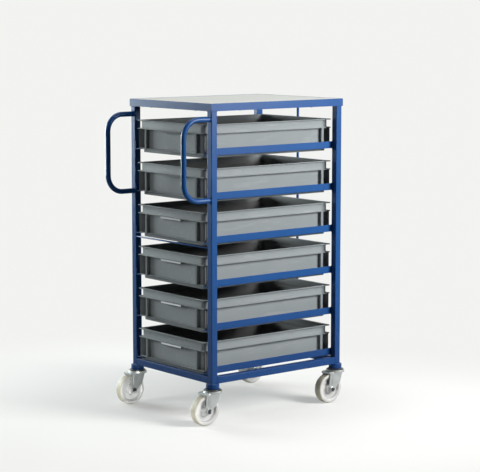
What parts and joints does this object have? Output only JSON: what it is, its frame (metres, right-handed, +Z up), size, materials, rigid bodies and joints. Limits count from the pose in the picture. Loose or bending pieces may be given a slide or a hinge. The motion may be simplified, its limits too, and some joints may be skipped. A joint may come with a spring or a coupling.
{
  "type": "mobile tray rack",
  "caption": "Blue welded tube rack on swivel castors, with grey moulded trays that slide on angle runners, a board top and two push handles.",
  "frame": {"origin": "on the floor, under the middle of the overall box with the castors trailing to the front", "axes": "+Z up, the trays pull out towards -Y on the handle side, +X to the right seen from there"},
  "size_m": [0.5232, 0.7568, 1.1399],
  "materials": {
    "blue_paint": "semi-gloss powder coat",
    "grey_board": "melamine-faced board, satin",
    "tray_plastic": "fine-grained moulding",
    "zinc_plate": "bright zinc plate",
    "ball_steel": "polished, greased",
    "dark_steel": "blackened",
    "wheel_plastic": "off-white polyamide"
  },
  "bodies": {
    "frame": {"post_front_left": "blue_paint", "post_front_right": "blue_paint", "post_rear_left": "blue_paint", "post_rear_right": "blue_paint", "base_rail_front": "blue_paint", "base_rail_rear": "blue_paint", "base_rail_left": "blue_paint", "base_rail_right": "blue_paint", "top_rim_front": "blue_paint", "top_rim_rear": "blue_paint", "top_rim_left": "blue_paint", "top_rim_right": "blue_paint", "runner_left_1": "blue_paint", "runner_left_2": "blue_paint", "runner_left_3": "blue_paint", "runner_left_4": "blue_paint", "runner_left_5": "blue_paint", "runner_left_6": "blue_paint", "runner_right_1": "blue_paint", "runner_right_2": "blue_paint", "runner_right_3": "blue_paint", "runner_right_4": "blue_paint", "runner_right_5": "blue_paint", "runner_right_6": "blue_paint", "front_tie_bar": "blue_paint", "back_stop_bar": "blue_paint", "handle_left": "blue_paint", "handle_right": "blue_paint", "castor_boss_front_left": "blue_paint", "castor_boss_front_right": "blue_paint", "castor_boss_rear_left": "blue_paint", "castor_boss_rear_right": "blue_paint", "castor_head_front_left": "zinc_plate", "castor_head_front_right": "zinc_plate", "castor_head_rear_left": "zinc_plate", "castor_head_rear_right": "zinc_plate", "castor_king_bolts": "zinc_plate", "top_board": "grey_board", "top_board_screws": "zinc_plate", "castor_balls": "ball_steel"},
    "tray_1": {"tray_1": "tray_plastic"},
    "tray_2": {"tray_2": "tray_plastic"},
    "tray_3": {"tray_3": "tray_plastic"},
    "tray_4": {"tray_4": "tray_plastic"},
    "tray_5": {"tray_5": "tray_plastic"},
    "tray_6": {"tray_6": "tray_plastic"},
    "castor_swivel_front_left": {"castor_fork_front_left": "zinc_plate", "castor_axle_front_left": "dark_steel"},
    "castor_wheel_front_left_body": {"castor_wheel_front_left": "wheel_plastic"},
    "castor_swivel_front_right": {"castor_fork_front_right": "zinc_plate", "castor_axle_front_right": "dark_steel"},
    "castor_wheel_front_right_body": {"castor_wheel_front_right": "wheel_plastic"},
    "castor_swivel_rear_left": {"castor_fork_rear_left": "zinc_plate", "castor_axle_rear_left": "dark_steel"},
    "castor_wheel_rear_left_body": {"castor_wheel_rear_left": "wheel_plastic"},
    "castor_swivel_rear_right": {"castor_fork_rear_right": "zinc_plate", "castor_axle_rear_right": "dark_steel"},
    "castor_wheel_rear_right_body": {"castor_wheel_rear_right": "wheel_plastic"}
  },
  "joints": [
    {"name": "tray_1_slide", "type": "slide", "parent": "frame", "child": "tray_1", "axis": [0, -1, 0], "range_m": [0, 0.4]},
    {"name": "tray_2_slide", "type": "slide", "parent": "frame", "child": "tray_2", "axis": [0, -1, 0], "range_m": [0, 0.4]},
    {"name": "tray_3_slide", "type": "slide", "parent": "frame", "child": "tray_3", "axis": [0, -1, 0], "range_m": [0, 0.4]},
    {"name": "tray_4_slide", "type": "slide", "parent": "frame", "child": "tray_4", "axis": [0, -1, 0], "range_m": [0, 0.4]},
    {"name": "tray_5_slide", "type": "slide", "parent": "frame", "child": "tray_5", "axis": [0, -1, 0], "range_m": [0, 0.4]},
    {"name": "tray_6_slide", "type": "slide", "parent": "frame", "child": "tray_6", "axis": [0, -1, 0], "range_m": [0, 0.4]},
    {"name": "castor_swivel_front_left", "type": "hinge", "parent": "frame", "child": "castor_swivel_front_left", "pos_m": [-0.2276, -0.2432, 0.1196], "axis": [0, 0, 1], "continuous": true},
    {"name": "castor_wheel_front_left_roll", "type": "hinge", "parent": "castor_swivel_front_left", "child": "castor_wheel_front_left_body", "pos_m": [-0.2276, -0.2792, 0.054], "axis": [1, 0, 0], "continuous": true},
    {"name": "castor_swivel_front_right", "type": "hinge", "parent": "frame", "child": "castor_swivel_front_right", "pos_m": [0.2276, -0.2432, 0.1196], "axis": [0, 0, 1], "continuous": true},
    {"name": "castor_wheel_front_right_roll", "type": "hinge", "parent": "castor_swivel_front_right", "child": "castor_wheel_front_right_body", "pos_m": [0.2276, -0.2792, 0.054], "axis": [1, 0, 0], "continuous": true},
    {"name": "castor_swivel_rear_left", "type": "hinge", "parent": "frame", "child": "castor_swivel_rear_left", "pos_m": [-0.2276, 0.3444, 0.1196], "axis": [0, 0, 1], "continuous": true},
    {"name": "castor_wheel_rear_left_roll", "type": "hinge", "parent": "castor_swivel_rear_left", "child": "castor_wheel_rear_left_body", "pos_m": [-0.2276, 0.3084, 0.054], "axis": [1, 0, 0], "continuous": true},
    {"name": "castor_swivel_rear_right", "type": "hinge", "parent": "frame", "child": "castor_swivel_rear_right", "pos_m": [0.2276, 0.3444, 0.1196], "axis": [0, 0, 1], "continuous": true},
    {"name": "castor_wheel_rear_right_roll", "type": "hinge", "parent": "castor_swivel_rear_right", "child": "castor_wheel_rear_right_body", "pos_m": [0.2276, 0.3084, 0.054], "axis": [1, 0, 0], "continuous": true}
  ]
}
